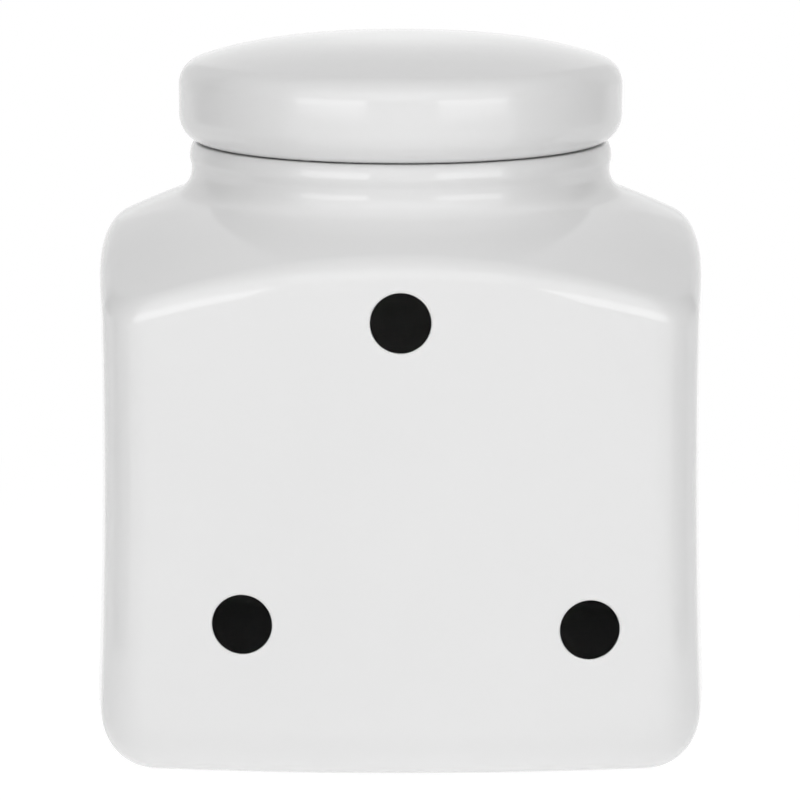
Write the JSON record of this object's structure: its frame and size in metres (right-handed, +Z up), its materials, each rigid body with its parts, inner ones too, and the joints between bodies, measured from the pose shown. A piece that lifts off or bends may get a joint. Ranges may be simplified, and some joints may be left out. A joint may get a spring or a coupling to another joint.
{
  "type": "storage canister",
  "caption": "Vented ceramic storage canister: square jar with bowed faces, sloping shoulder and short round neck, closed by a puffy push-fit lid with a seal.",
  "frame": {"origin": "middle of the foot, on the surface that the jar stands on", "axes": "+Z up along the axis of neck and lid; the vented front face looks along -Y; +X to the right seen from the front"},
  "size_m": [0.1534, 0.1534, 0.172],
  "materials": {
    "jar_glaze": "gloss",
    "lid_glaze": "gloss",
    "seal_silicone": "satin"
  },
  "bodies": {
    "jar": {"jar_body": "jar_glaze"},
    "lid": {"lid": "lid_glaze", "lid_seal": "seal_silicone"}
  },
  "joints": [
    {"name": "lid_lift", "type": "slide", "parent": "jar", "child": "lid", "axis": [0, 0, 1], "range_m": [0, 0.08]}
  ]
}
